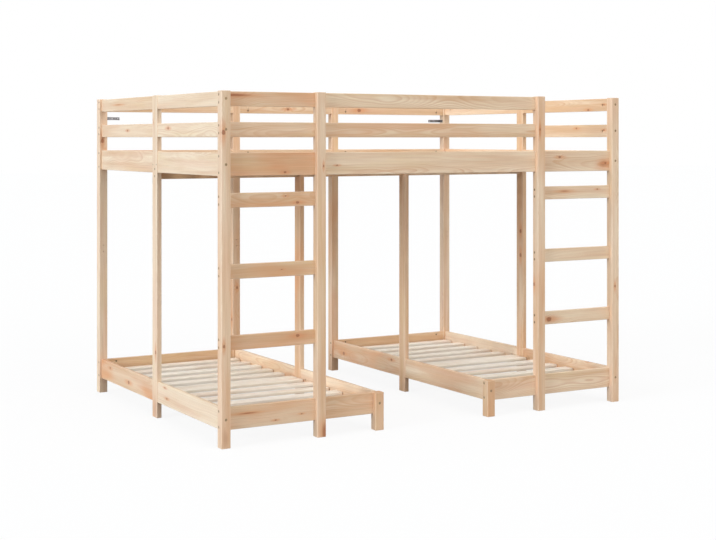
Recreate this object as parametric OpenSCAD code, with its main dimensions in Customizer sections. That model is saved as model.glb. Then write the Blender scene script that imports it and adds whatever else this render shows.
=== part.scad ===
// Triple bunk bed in solid pine: two low beds side by side under one wide slatted deck.
// Millimetres, +Z up. The origin is on the floor at the middle of the footprint, the front faces -Y.
// Fourteen uprights carry everything. Planks butt against them and are pulled tight by bolts that
// turn into barrel nuts, so the whole frame knocks down flat.

/* [Frame] */
// Overall width, outside the corner posts
frame_w = 2800; // [2700:10:3200]
// Overall length, front to back
frame_l = 2020; // [1900:10:2260]

/* [Posts] */
// Width of a tall post, seen from the front
post_w = 55; // [44:1:64]
// Depth of a tall post, front to back
post_d = 54; // [48:1:80]
// Width of the thinner posts halfway along each bed, seen from the front
mid_w = 31; // [28:1:40]
// Depth of those posts, front to back
mid_d = 74; // [60:1:90]
// How far the tall posts stand above the top guard rail
post_over = 3; // [2:1:40]
// Radius of the eased long edges of every plank and post
arris = 3; // [1:0.5:4]

/* [Planks] */
// Thickness of rails, boards and rungs
plank_t = 22; // [20:1:26]
// Height of a guard rail, a rung and the deck beam
rail_h = 81; // [66:1:90]
// Height of a deck board
board_h = 129; // [110:1:160]
// How far front and back planks lie in from the inner face of the posts
setback = 4; // [2:1:6]

/* [Deck] */
// Height of the underside of the deck boards
board_z = 1488; // [1440:1:1600]
// Height of the slats' bearing above the underside of the deck boards
deck_rest = 41; // [34:1:60]
// Open gap below each guard rail
guard_gap = 88; // [60:1:110]

/* [Ladders] */
// Clear width between the two posts of a ladder
ladder_gap = 539; // [380:1:560]
// Height of the underside of the lowest rung
rung_z = 530; // [440:1:560]
// Distance from one rung to the next
rung_pitch = 392; // [340:1:400]
// Number of rungs on each ladder
rung_count = 3; // [1:1:3]

/* [Low beds] */
// Outside width of a low bed
bed_w = 1032; // [980:1:1080]
// Height of the underside of the low beds' rails
low_z = 95; // [60:1:160]
// Height of the low beds' rails
low_h = 125; // [110:1:160]
// Depth of the low slats' top below the top of the rails
slat_drop = 60; // [40:1:64]

/* [Slats] */
// Width of a slat
slat_w = 80; // [60:1:95]
// Thickness of a slat
slat_t = 18; // [14:1:20]
// Open gap wanted between slats; they are spread evenly, as near to it as a whole number of them comes
slat_gap = 93; // [60:1:110]
// Gap between the last slat and the plank beside it
slat_end_gap = 20; // [8:1:40]
// Joint between the two slats in the middle of a low bed
slat_joint = 6; // [2:1:20]
// Play between a slat's end and what it meets
slat_play = 3; // [1:0.5:5]
// Height of the cleats that carry the slats
cleat_h = 30; // [26:1:34]
// Thickness of those cleats
cleat_t = 22; // [20:1:30]
// How far a cleat stops short of the posts
cleat_short = 10; // [4:1:40]

/* [Joinery] */
// Diameter of the bolts and studs
bolt_d = 8; // [6:0.5:8]
// Diameter of the bolt heads
head_d = 15; // [13:0.5:16]
// Thickness of the bolt heads
head_t = 4; // [3:0.5:5]
// How far the heads lie below the face of the post
head_sink = 1; // [0.5:0.5:3]
// Size of the hexagon socket in a head, corner to corner
socket_d = 6; // [4:0.5:8]
// Depth of that socket
socket_in = 2.4; // [1.5:0.1:2.5]
// Diameter of the barrel nuts
nut_d = 12; // [11:0.5:14]
// Length of the barrel nuts
nut_l = 16; // [12:1:18]
// Distance from a plank's end to its barrel nut
nut_in = 64; // [40:1:80]
// How far a bolt's end stands past its barrel nut
bolt_past = 2; // [1:0.5:3]
// How much deeper than that its hole is
hole_past = 2; // [1:0.5:4]
// Distance from a plank's edge to the nearest bolt
bolt_edge = 19; // [15:1:20]
// Play between hardware and the hole that it passes through
hole_play = 0.5; // [0.2:0.1:0.8]
// Play between a bolt and its barrel nut, both drawn without a thread
thread_play = 0.1; // [0.1:0.05:0.3]

/* [Wall angles] */
// Length of the leg that is screwed to the wall
angle_wall = 104; // [80:1:120]
// Length of the leg on the post
angle_post = 40; // [34:1:50]
// Height of the angle's steel strip
angle_h = 20; // [16:1:30]
// Thickness of the steel
angle_t = 2.5; // [2:0.5:4]
// Diameter of the wall screw holes
wall_hole_d = 6; // [5:0.5:8]
// Distance between the two wall screw holes
wall_hole_pitch = 40; // [30:1:50]
// Distance from the free end to the nearest wall screw hole
wall_hole_in = 12; // [8:1:20]
// Depth of the angle's middle below the underside of the top guard rail
angle_drop = 44; // [20:1:60]
// Distance from the wall side to the screw in the post
angle_screw_in = 25; // [20:1:28]
// Diameter of that screw
screw_d = 4; // [3:0.5:5]
// Length of that screw
screw_l = 28; // [20:1:40]
// Diameter of its head
screw_head_d = 9; // [7:0.5:10]
// Thickness of its head
screw_head_t = 2.5; // [1.5:0.5:3]

/* [Hidden] */
$fn = 32;

pale_pine = "#f0dfc4";
tan_pine = "#d8b68c";
slat_pine = "#f6ead6";
zinc = "#9aa0a3";

// Heights
second_z = board_z + board_h + guard_gap;
top_z = second_z + rail_h + guard_gap;
post_h = top_z + rail_h + post_over;
rest_z = board_z + deck_rest;
beam_z = rest_z - rail_h;
low_top = low_z + low_h;
low_rest_z = low_top - slat_drop - slat_t;

// Plan, measured from the middle of the footprint
corner_x = frame_w / 2 - post_w / 2;
ladder_x = corner_x - post_w - ladder_gap;
inner_x = frame_w / 2 - bed_w + post_w / 2;
post_y = frame_l / 2 - post_d / 2;
line_y = frame_l / 2 - post_d + setback + plank_t / 2;

// Bolts: two in the end of a plank that runs across, one in the end of a plank that runs lengthwise
function pair(z, h) = [z + bolt_edge, z + h - bolt_edge];
board_pair = pair(board_z, board_h);
guard_pairs = concat(pair(second_z, rail_h), pair(top_z, rail_h));
rung_pairs = [for (i = [0 : rung_count - 1]) each pair(rung_z + i * rung_pitch, rail_h)];
low_pair = pair(low_z, low_h);
beam_pair = pair(beam_z, rail_h);
low_mid = low_z + low_h / 2;
upper_mids = [board_z + board_h / 2, second_z + rail_h / 2, top_z + rail_h / 2];
side_mids = concat([low_mid], upper_mids);
spare_mids = pair(rung_z + rung_pitch, rail_h);

// Each joint: the post's x and y, its thickness along the bolt, the side that the head is on
// (0 for a stud with a nut at both ends) and the heights of its bolts
cross_joints = [
    [-corner_x, -line_y, post_w, -1, concat(board_pair, guard_pairs, rung_pairs, low_pair)],
    [corner_x, -line_y, post_w, 1, concat(board_pair, rung_pairs, low_pair)],
    [-ladder_x, -line_y, post_w, 1, rung_pairs],
    [ladder_x, -line_y, post_w, -1, rung_pairs],
    [ladder_x, -line_y, post_w, 1, guard_pairs],
    [-ladder_x, -line_y, post_w, 0, concat(board_pair, guard_pairs, low_pair)],
    [ladder_x, -line_y, post_w, 0, concat(board_pair, low_pair)],
    [-corner_x, line_y, post_w, -1, concat(board_pair, guard_pairs, low_pair)],
    [corner_x, line_y, post_w, 1, concat(board_pair, guard_pairs, low_pair)],
    [-inner_x, line_y, post_w, 1, low_pair],
    [inner_x, line_y, post_w, -1, low_pair],
    [-inner_x, line_y, post_w, 0, concat(board_pair, guard_pairs)],
    [inner_x, line_y, post_w, 0, concat(board_pair, guard_pairs)],
    [-inner_x, -line_y, post_w, 1, low_pair],
    [inner_x, -line_y, post_w, -1, low_pair],
    [-corner_x, 0, mid_w, -1, beam_pair],
    [corner_x, 0, mid_w, 1, beam_pair],
    [-inner_x, 0, mid_w, 0, beam_pair],
    [inner_x, 0, mid_w, 0, beam_pair]
];
long_joints = [
    for (x = [-corner_x, corner_x]) each [
        [x, -post_y, post_d, -1, side_mids],
        [x, post_y, post_d, 1, side_mids],
        [x, 0, mid_d, 0, side_mids]
    ],
    for (x = [-inner_x, inner_x]) each [
        [x, -post_y, post_d, -1, [low_mid]],
        [x, post_y, post_d, 1, [low_mid]],
        [x, 0, mid_d, 0, [low_mid]]
    ]
];
bolt_reach = nut_in + nut_d / 2 + bolt_past;

// Slats: the deck's run front to back in one row, a low bed's run across in two rows of half its length
function count_in(span) = round((span + slat_gap) / (slat_w + slat_gap));
function pitch_in(span) = (span - slat_w) / (count_in(span) - 1);
deck_span = 2 * (corner_x - plank_t / 2 - slat_end_gap);
deck_slat_end = frame_l / 2 - post_d - slat_play;
half_span = line_y - plank_t / 2 - slat_end_gap - slat_joint / 2;
cleat_off = plank_t / 2 + cleat_t / 2;

// Rows of posts
front_posts = [-corner_x, -ladder_x, ladder_x, corner_x];
back_posts = [-corner_x, -inner_x, inner_x, corner_x];

// Wall angles
angle_face = corner_x - post_w / 2;
angle_z = top_z - angle_drop;
angle_screw_y = frame_l / 2 - angle_screw_in;

// Overshoot of every cut, so that none ends on the face that it opens
cut = 1;

// Cross-section with eased corners, centred
module eased(w, h) {
    square([w, h - 2 * arris], center = true);
    square([w - 2 * arris, h], center = true);
    for (x = [-1, 1], y = [-1, 1])
        translate([x * (w / 2 - arris), y * (h / 2 - arris)]) circle(arris);
}

// A rod along +X or +Y, starting at the origin
module rod_x(d, l) rotate([0, 90, 0]) cylinder(d = d, h = l);
module rod_y(d, l) rotate([-90, 0, 0]) cylinder(d = d, h = l);

// Its children as they are on the right, mirrored on the left
module on_side(side) mirror([side < 0 ? 1 : 0, 0, 0]) children();

// Solid bars across and along the bed, resting at height z
module bar_x(x1, x2, y, z, t, h)
    translate([x1, y, z + h / 2]) rotate([90, 0, 90]) linear_extrude(x2 - x1) eased(t, h);
module bar_y(y1, y2, x, z, t, h)
    translate([x, y2, z + h / 2]) rotate([90, 0, 0]) linear_extrude(y2 - y1) eased(t, h);

// One bolt hole in the end of a plank that starts at the origin and runs along +X, and the hole of
// its barrel nut, which opens on one face only: towards +Y where opens is 1 and -Y where it is -1
module end_holes(opens) {
    translate([-cut, 0, 0]) rod_x(bolt_d + hole_play, cut + bolt_reach + hole_past);
    translate([nut_in, opens > 0 ? -nut_l / 2 : -plank_t / 2 - cut, 0])
        rod_y(nut_d + hole_play, nut_l / 2 + plank_t / 2 + cut);
}

// A plank across the bed from x1 to x2, with two bolts in each end. Its nut holes open towards the
// middle of the bed, so that the outside stays plain
module plank_x(x1, x2, y, z, h) {
    opens = y > 0 ? -1 : 1;
    difference() {
        bar_x(x1, x2, y, z, plank_t, h);
        for (bolt_z = pair(z, h)) {
            translate([x1, y, bolt_z]) end_holes(opens);
            translate([x2, y, bolt_z]) rotate([0, 0, 180]) end_holes(-opens);
        }
    }
}

// A plank along the bed from y1 to y2, with one bolt in each end and nut holes that open on one side
module plank_y(y1, y2, x, z, h, opens) {
    difference() {
        bar_y(y1, y2, x, z, plank_t, h);
        translate([x, y1, z + h / 2]) rotate([0, 0, 90]) end_holes(-opens);
        translate([x, y2, z + h / 2]) rotate([0, 0, -90]) end_holes(opens);
    }
}

// Both halves of a plank that runs the length of the bed past the middle post
module plank_pair(x, z, h, opens) {
    plank_y(-frame_l / 2 + post_d, -mid_d / 2, x, z, h, opens);
    plank_y(mid_d / 2, frame_l / 2 - post_d, x, z, h, opens);
}

// Planks of one height between a row of posts of width w
module row_x(posts, w, y, z, h)
    for (i = [0 : len(posts) - 2])
        plank_x(posts[i] + w / 2, posts[i + 1] - w / 2, y, z, h);

// A bolt hole along X through a post of thickness w, with a recess on the side that the head is on
module post_hole(w, head) {
    translate([-w / 2 - cut, 0, 0]) rod_x(bolt_d + hole_play, w + 2 * cut);
    if (head != 0)
        on_side(head) translate([w / 2 - head_t - head_sink, 0, 0])
            rod_x(head_d + 2 * hole_play, head_t + head_sink + cut);
}

// An upright at x, y with every bolt hole that a joint asks of it; its children are further holes
module post(x, y, w, d, h) {
    difference() {
        translate([x, y, 0]) linear_extrude(h) eased(w, d);
        for (j = cross_joints)
            if (j[0] == x && abs(j[1] - y) < d / 2)
                for (bolt_z = j[4])
                    translate([x, j[1], bolt_z]) post_hole(w, j[3]);
        for (j = long_joints)
            if (j[0] == x && j[1] == y)
                for (bolt_z = j[4])
                    translate([x, y, bolt_z]) rotate([0, 0, 90]) post_hole(d, j[3]);
        children();
    }
}

// Two open holes through a back post, level with the middle rung
module spare_holes(x)
    for (z = spare_mids)
        translate([x, frame_l / 2 - post_d - cut, z]) rod_y(bolt_d + hole_play, post_d + 2 * cut);

// A bolt along +X: its head's underside is at the origin, with a hexagon socket
module bolt(grip) {
    difference() {
        translate([-head_t, 0, 0]) rod_x(head_d, head_t);
        translate([-head_t - cut, 0, 0]) rotate([0, 90, 0])
            cylinder(d = socket_d, h = socket_in + cut, $fn = 6);
    }
    rod_x(bolt_d, grip + bolt_reach);
}
module stud(grip) translate([-grip / 2 - bolt_reach, 0, 0]) rod_x(bolt_d, grip + 2 * bolt_reach);

// Bolts or studs of one list of joints; turn is 0 across the bed and 90 along it
module bolts(joints, turn)
    for (j = joints)
        if (j[3] != 0)
            for (bolt_z = j[4])
                translate([j[0], j[1], bolt_z]) rotate([0, 0, turn + (j[3] > 0 ? 180 : 0)])
                    translate([head_t + head_sink - j[2] / 2, 0, 0]) bolt(j[2] - head_t - head_sink);
module studs(joints, turn)
    for (j = joints)
        if (j[3] == 0)
            for (bolt_z = j[4])
                translate([j[0], j[1], bolt_z]) rotate([0, 0, turn]) stud(j[2]);

// A barrel nut: a short steel cylinder that lies across the plank, with the bolt through its middle
module barrel_nut() difference() {
    translate([0, -nut_l / 2, 0]) rod_y(nut_d, nut_l);
    translate([-nut_d, 0, 0]) rod_x(bolt_d + thread_play, 2 * nut_d);
}
module nuts(joints, turn)
    for (j = joints, side = [-1, 1])
        if (side != j[3])
            for (bolt_z = j[4])
                translate([j[0], j[1], bolt_z]) rotate([0, 0, turn])
                    translate([side * (j[2] / 2 + nut_in), 0, 0]) barrel_nut();

// Slats and the cleats under their ends
module low_slats(side)
    for (i = [0 : count_in(half_span) - 1], half = [-1, 1])
        on_side(side) bar_x(inner_x + mid_w / 2 + slat_play, corner_x - mid_w / 2 - slat_play,
                            half * (slat_joint / 2 + slat_w / 2 + i * pitch_in(half_span)),
                            low_rest_z, slat_w, slat_t);
module low_cleats(x)
    for (half = [0, 1])
        mirror([0, half, 0]) bar_y(mid_d / 2 + cleat_short, frame_l / 2 - post_d - cleat_short,
                                   x, low_rest_z - cleat_h, cleat_t, cleat_h);
module deck_cleats(y, posts)
    for (i = [0 : len(posts) - 2])
        bar_x(posts[i] + post_w / 2 + cleat_short, posts[i + 1] - post_w / 2 - cleat_short,
              y, rest_z - cleat_h, cleat_t, cleat_h);

// A steel angle on the inner side of a back post: one leg on the post, the other flush with its back
module wall_angle(side) on_side(side)
    difference() {
        union() {
            translate([angle_face - angle_t, frame_l / 2 - angle_post, angle_z - angle_h / 2])
                cube([angle_t, angle_post, angle_h]);
            translate([angle_face - angle_wall, frame_l / 2 - angle_t, angle_z - angle_h / 2])
                cube([angle_wall, angle_t, angle_h]);
        }
        for (hole = [wall_hole_in, wall_hole_in + wall_hole_pitch])
            translate([angle_face - angle_wall + hole, frame_l / 2 - angle_t - cut, angle_z])
                rod_y(wall_hole_d, angle_t + 2 * cut);
        translate([angle_face - angle_t - cut, angle_screw_y, angle_z])
            rod_x(screw_d + hole_play, angle_t + 2 * cut);
    }

// The wood screw that holds the angle, and the pilot hole that the post has for it
module angle_screw(side) on_side(side)
    translate([angle_face - angle_t, angle_screw_y, angle_z]) {
        translate([-screw_head_t, 0, 0]) rod_x(screw_head_d, screw_head_t);
        rod_x(screw_d, screw_l);
    }
module angle_pilot(side) on_side(side)
    translate([angle_face - cut, angle_screw_y, angle_z]) rod_x(screw_d + hole_play, screw_l + cut);

module post_front_left() color(pale_pine) post(-corner_x, -post_y, post_w, post_d, post_h);
module post_front_right() color(pale_pine) post(corner_x, -post_y, post_w, post_d, post_h);
module post_ladder_left() color(pale_pine) post(-ladder_x, -post_y, post_w, post_d, post_h);
module post_ladder_right() color(pale_pine) post(ladder_x, -post_y, post_w, post_d, post_h);
module post_back_left() color(pale_pine) post(-corner_x, post_y, post_w, post_d, post_h) {
    spare_holes(-corner_x);
    angle_pilot(-1);
}
module post_back_right() color(pale_pine) post(corner_x, post_y, post_w, post_d, post_h) {
    spare_holes(corner_x);
    angle_pilot(1);
}
module post_back_inner_left() color(pale_pine) post(-inner_x, post_y, post_w, post_d, post_h) spare_holes(-inner_x);
module post_back_inner_right() color(pale_pine) post(inner_x, post_y, post_w, post_d, post_h) spare_holes(inner_x);
module post_mid_left() color(pale_pine) post(-corner_x, 0, mid_w, mid_d, post_h);
module post_mid_right() color(pale_pine) post(corner_x, 0, mid_w, mid_d, post_h);
module post_mid_inner_left() color(pale_pine) post(-inner_x, 0, mid_w, mid_d, rest_z);
module post_mid_inner_right() color(pale_pine) post(inner_x, 0, mid_w, mid_d, rest_z);
module leg_left() color(pale_pine) post(-inner_x, -post_y, post_w, post_d, low_top);
module leg_right() color(pale_pine) post(inner_x, -post_y, post_w, post_d, low_top);

module front_left(z, h) color(tan_pine) row_x([-corner_x, -ladder_x], post_w, -line_y, z, h);
module front_centre(z, h) color(tan_pine) row_x([-ladder_x, ladder_x], post_w, -line_y, z, h);
module front_top_rail_left() front_left(top_z, rail_h);
module front_second_rail_left() front_left(second_z, rail_h);
module front_board_left() front_left(board_z, board_h);
module front_top_rail_centre() front_centre(top_z, rail_h);
module front_second_rail_centre() front_centre(second_z, rail_h);
module front_board_centre() front_centre(board_z, board_h);
module front_board_right() color(tan_pine) row_x([ladder_x, corner_x], post_w, -line_y, board_z, board_h);
module back_top_rails() color(tan_pine) row_x(back_posts, post_w, line_y, top_z, rail_h);
module back_second_rails() color(tan_pine) row_x(back_posts, post_w, line_y, second_z, rail_h);
module back_boards() color(tan_pine) row_x(back_posts, post_w, line_y, board_z, board_h);
module left_top_rails() color(pale_pine) plank_pair(-corner_x, top_z, rail_h, 1);
module left_second_rails() color(pale_pine) plank_pair(-corner_x, second_z, rail_h, 1);
module left_boards() color(pale_pine) plank_pair(-corner_x, board_z, board_h, 1);
module right_top_rails() color(pale_pine) plank_pair(corner_x, top_z, rail_h, -1);
module right_second_rails() color(pale_pine) plank_pair(corner_x, second_z, rail_h, -1);
module right_boards() color(pale_pine) plank_pair(corner_x, board_z, board_h, -1);
module rungs(posts)
    for (i = [0 : rung_count - 1])
        row_x(posts, post_w, -line_y, rung_z + i * rung_pitch, rail_h);
module ladder_rungs_left() color(tan_pine) rungs([-corner_x, -ladder_x]);
module ladder_rungs_right() color(tan_pine) rungs([ladder_x, corner_x]);

module deck_beam() color(tan_pine) row_x(back_posts, mid_w, 0, beam_z, rail_h);
module deck_cleats_front() color(tan_pine)
    deck_cleats(-line_y + cleat_off, front_posts);
module deck_cleats_back() color(tan_pine)
    deck_cleats(line_y - cleat_off, back_posts);
module deck_slats() color(slat_pine)
    for (i = [0 : count_in(deck_span) - 1])
        bar_y(-deck_slat_end, deck_slat_end, slat_w / 2 - deck_span / 2 + i * pitch_in(deck_span),
              rest_z, slat_w, slat_t);

module left_bed_outer_rails() color(tan_pine) plank_pair(-corner_x, low_z, low_h, 1);
module left_bed_inner_rails() color(tan_pine) plank_pair(-inner_x, low_z, low_h, -1);
module left_bed_front_rails() color(tan_pine)
    row_x([-corner_x, -ladder_x, -inner_x], post_w, -line_y, low_z, low_h);
module left_bed_back_rail() color(tan_pine) row_x([-corner_x, -inner_x], post_w, line_y, low_z, low_h);
module left_bed_outer_cleats() color(tan_pine) low_cleats(-corner_x + cleat_off);
module left_bed_inner_cleats() color(tan_pine) low_cleats(-inner_x - cleat_off);
module left_bed_slats() color(slat_pine) low_slats(-1);
module right_bed_outer_rails() color(tan_pine) plank_pair(corner_x, low_z, low_h, -1);
module right_bed_inner_rails() color(tan_pine) plank_pair(inner_x, low_z, low_h, 1);
module right_bed_front_rails() color(tan_pine)
    row_x([inner_x, ladder_x, corner_x], post_w, -line_y, low_z, low_h);
module right_bed_back_rail() color(tan_pine) row_x([inner_x, corner_x], post_w, line_y, low_z, low_h);
module right_bed_outer_cleats() color(tan_pine) low_cleats(corner_x - cleat_off);
module right_bed_inner_cleats() color(tan_pine) low_cleats(inner_x + cleat_off);
module right_bed_slats() color(slat_pine) low_slats(1);

module cross_bolts() color(zinc) bolts(cross_joints, 0);
module cross_studs() color(zinc) studs(cross_joints, 0);
module long_bolts() color(zinc) bolts(long_joints, 90);
module long_studs() color(zinc) studs(long_joints, 90);
module barrel_nuts() color(zinc) {
    nuts(cross_joints, 0);
    nuts(long_joints, 90);
}
module wall_angle_left() color(zinc) wall_angle(-1);
module wall_angle_right() color(zinc) wall_angle(1);
module angle_screws() color(zinc) {
    angle_screw(-1);
    angle_screw(1);
}

post_front_left();
post_front_right();
post_ladder_left();
post_ladder_right();
post_back_left();
post_back_right();
post_back_inner_left();
post_back_inner_right();
post_mid_left();
post_mid_right();
post_mid_inner_left();
post_mid_inner_right();
leg_left();
leg_right();
front_top_rail_left();
front_second_rail_left();
front_board_left();
front_top_rail_centre();
front_second_rail_centre();
front_board_centre();
front_board_right();
back_top_rails();
back_second_rails();
back_boards();
left_top_rails();
left_second_rails();
left_boards();
right_top_rails();
right_second_rails();
right_boards();
ladder_rungs_left();
ladder_rungs_right();
deck_beam();
deck_cleats_front();
deck_cleats_back();
deck_slats();
left_bed_outer_rails();
left_bed_inner_rails();
left_bed_front_rails();
left_bed_back_rail();
left_bed_outer_cleats();
left_bed_inner_cleats();
left_bed_slats();
right_bed_outer_rails();
right_bed_inner_rails();
right_bed_front_rails();
right_bed_back_rail();
right_bed_outer_cleats();
right_bed_inner_cleats();
right_bed_slats();
cross_bolts();
cross_studs();
long_bolts();
long_studs();
barrel_nuts();
wall_angle_left();
wall_angle_right();
angle_screws();
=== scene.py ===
import math
import random

import bmesh
import bpy
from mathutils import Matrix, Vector


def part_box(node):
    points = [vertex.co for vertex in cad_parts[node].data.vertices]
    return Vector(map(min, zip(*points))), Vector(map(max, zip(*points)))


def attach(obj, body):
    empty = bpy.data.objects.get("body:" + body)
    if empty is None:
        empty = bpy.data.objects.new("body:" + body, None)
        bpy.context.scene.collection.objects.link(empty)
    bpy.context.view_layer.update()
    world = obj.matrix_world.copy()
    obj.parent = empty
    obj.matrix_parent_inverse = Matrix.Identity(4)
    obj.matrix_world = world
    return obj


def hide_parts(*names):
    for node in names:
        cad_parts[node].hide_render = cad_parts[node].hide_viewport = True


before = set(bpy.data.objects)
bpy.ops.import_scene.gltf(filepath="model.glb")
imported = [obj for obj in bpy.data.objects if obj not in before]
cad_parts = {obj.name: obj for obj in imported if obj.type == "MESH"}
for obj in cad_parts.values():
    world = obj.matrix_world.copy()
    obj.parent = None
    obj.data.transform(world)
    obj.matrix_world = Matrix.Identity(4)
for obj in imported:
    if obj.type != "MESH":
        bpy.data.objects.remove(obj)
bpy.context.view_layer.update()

dice = random.Random(41)  # one fixed seed for all that the boards draw
print("frame loaded:", len(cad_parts), "nodes")


# Small helpers for node trees

def feed(tree, socket, value):
    if isinstance(value, bpy.types.NodeSocket):
        tree.links.new(value, socket)
    else:
        socket.default_value = value


def addNode(tree, kind, sockets=None, **settings):
    node = tree.nodes.new(kind)
    for name, value in settings.items():
        setattr(node, name, value)
    for name, value in (sockets or {}).items():
        feed(tree, node.inputs[name], value)
    return node


def newGroup(name, kind, inputs, outputs):
    # inputs and outputs are (label, kind of socket), and an input may end in its default
    tree = bpy.data.node_groups.new(name, kind)
    for side, sockets in (("INPUT", inputs), ("OUTPUT", outputs)):
        for label, socketKind, *default in sockets:
            socket = tree.interface.new_socket(name=label, in_out=side, socket_type="NodeSocket" + socketKind)
            if default:
                socket.default_value = default[0]
    return tree, tree.nodes.new("NodeGroupInput").outputs, tree.nodes.new("NodeGroupOutput").inputs


def calc(tree, operation, *values, clamp=False):
    node = addNode(tree, "ShaderNodeMath", operation=operation, use_clamp=clamp)
    for socket, value in zip(node.inputs, values):
        feed(tree, socket, value)
    return node.outputs[0]


def vectorCalc(tree, operation, *values):
    node = addNode(tree, "ShaderNodeVectorMath", operation=operation)
    for socket, value in zip(node.inputs, values):
        feed(tree, socket, value)
    return node.outputs["Value" if operation == "LENGTH" else "Vector"]


def separate(tree, vector):
    return addNode(tree, "ShaderNodeSeparateXYZ", {"Vector": vector}).outputs


def combine(tree, x=0.0, y=0.0, z=0.0):
    return addNode(tree, "ShaderNodeCombineXYZ", {"X": x, "Y": y, "Z": z}).outputs[0]


def soften(tree, value, low, high):
    # 0 below low, 1 above high, with a smooth step between them
    node = addNode(tree, "ShaderNodeMapRange", {"Value": value, "From Min": low, "From Max": high},
                   interpolation_type="SMOOTHSTEP")
    return node.outputs["Result"]


def fade(tree, value, low, high):
    # 1 below low, 0 above high
    return calc(tree, "SUBTRACT", 1.0, soften(tree, value, low, high))


def swing(tree, value, width, level):
    # A noise of 0 to 1 becomes the level, give or take half the width
    return calc(tree, "MULTIPLY_ADD", calc(tree, "SUBTRACT", value, 0.5), width, level)


def addUp(tree, total, terms):
    for mask, change in terms:
        total = calc(tree, "MULTIPLY_ADD", mask, change, total)
    return total


def mixColor(tree, share, first, second, blend="MIX"):
    node = addNode(tree, "ShaderNodeMix", data_type="RGBA", blend_type=blend, clamp_factor=True)
    for index, value in ((0, share), (6, first), (7, second)):
        feed(tree, node.inputs[index], value)
    return node.outputs[2]


def layer(tree, color, coats):
    # Lays coats over a colour, each of them a mask, how strong it is and its own colour
    for mask, strength, tint in coats:
        color = mixColor(tree, calc(tree, "MULTIPLY", mask, strength), color, tint)
    return color


def noise(tree, place, scale, detail=2.0, rough=0.5):
    return addNode(tree, "ShaderNodeTexNoise",
                   {"Vector": place, "Scale": scale, "Detail": detail, "Roughness": rough})


def stray(tree, place, scale, detail):
    # A smooth random vector round 0
    return vectorCalc(tree, "SUBTRACT", noise(tree, place, scale, detail).outputs["Color"], (0.5, 0.5, 0.5))


def paint(red, green, blue):
    # An sRGB colour of 0 to 255 as the linear colour that a socket takes
    def linear(level):
        level /= 255
        return level / 12.92 if level <= 0.04045 else ((level + 0.055) / 1.055) ** 2.4
    return (linear(red), linear(green), linear(blue), 1.0)


# Shader groups that the timber shares

knotSet = {
    "least": 0.0005,  # metres: a smaller radius means no knot
    # How far, in metres, and how finely its outline wanders
    "stray": (0.008, 0.008, 0.008), "strayScale": 90.0,
    "squeeze": 0.72, "haloSqueeze": 0.24,  # under 1 they draw the knot and its halo out along the board
    # Where each mark begins and ends, in radii
    "core": (0.62, 1.12), "rimIn": (0.45, 0.9), "rimOut": (0.9, 1.35), "halo": (0.4, 2.6),
    "bendFade": -0.16,  # how soon the rings run straight again beside the knot
}


def makeKnotGroup(values):
    # One knot. Offset is the distance from its middle, along, across and through the board
    tree, given, out = newGroup("knotMark", "ShaderNodeTree", [
        ("Offset", "Vector"), ("Radius", "Float", 0.01)], [
        ("Core", "Float"), ("Rim", "Float"), ("Halo", "Float"), ("Bend", "Float")])
    radius = calc(tree, "MAXIMUM", given["Radius"], values["least"])
    real = calc(tree, "GREATER_THAN", given["Radius"], values["least"])
    wander = stray(tree, given["Offset"], values["strayScale"], 1.0)
    place = vectorCalc(tree, "ADD", given["Offset"], vectorCalc(tree, "MULTIPLY", wander, values["stray"]))

    def inRadii(squeeze):
        reach = vectorCalc(tree, "LENGTH", vectorCalc(tree, "MULTIPLY", place, (squeeze, 1.0, 1.0)))
        return calc(tree, "DIVIDE", reach, radius)

    core, halo = inRadii(values["squeeze"]), inRadii(values["haloSqueeze"])
    rim = calc(tree, "MULTIPLY", soften(tree, core, *values["rimIn"]), fade(tree, core, *values["rimOut"]))
    square = calc(tree, "MULTIPLY", core, core)
    bend = calc(tree, "EXPONENT", calc(tree, "MULTIPLY", square, values["bendFade"]))
    for label, value in (("Core", fade(tree, core, *values["core"])), ("Rim", rim),
                         ("Halo", fade(tree, halo, *values["halo"])), ("Bend", bend)):
        feed(tree, out[label], calc(tree, "MULTIPLY", value, real))
    return tree


grainSet = {
    "seedScale": 97.0,
    # Loose knots: metres between them, then what chance adds to a radius and the least radius
    "looseSpread": (0.46, 0.15, 0.7), "looseRadius": (0.006, 0.0035),
    # The pith: how finely and how far it wanders, then its place: what chance adds, and the least
    "pithScale": (1.1, 1.6, 1.6), "pithStray": (0.0, 0.13, 0.13),
    "pithAcross": (0.2, -0.1), "pithThrough": (0.1, 0.03),
    "knotBend": 1.3,
    # Late wood, as shares of a ring: where it rises and ends, then how much it differs by the year
    "lateRise": (0.25, 0.85), "lateFall": (0.88, 1.0), "lateYear": (0.75, 0.25),
    # Noises drawn out along the board: scale on each axis, detail, roughness
    "fibre": ((3.5, 240.0, 240.0), 3.0, 0.6), "band": ((1.3, 22.0, 22.0), 3.0, 0.55),
    "cloud": ((2.2, 7.0, 7.0), 2.0, 0.5), "drift": ((1.7, 12.0, 12.0), 3.0, 0.5),
    # Colour
    "bandTone": (2.2, 0.5), "boardTone": -0.5, "fibreShade": (0.3, 1.0),
    "driftFrom": (0.5, 0.72), "driftShare": 0.3, "rosy": (222, 178, 150), "honey": (222, 196, 148),
    "heartFrom": (0.38, 0.68),
    "fray": 1.6, "stainOuter": (0.2, 1.6), "stainInner": (0.1, 0.8), "stainShare": 0.75,
    "haloShare": 0.7, "coreShare": 0.75, "rimShare": 0.35, "rimDark": (0.5, 0.42, 0.36, 1.0),
    # Eased edges, paler by wear and a painted highlight, and sawn ends, in metres from the edge or the end
    "edge": (0.001, 0.005), "edgeWearAndHighlightShare": 0.3, "sawn": (0.0002, 0.0008), "sawnShare": 0.45,
    # Roughness and height
    "rough": 0.56, "roughLate": -0.06, "roughSawn": 0.2, "roughCore": -0.12,
    "highFibre": 0.5, "highLate": 0.35, "highRim": -0.6,
}


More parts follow.
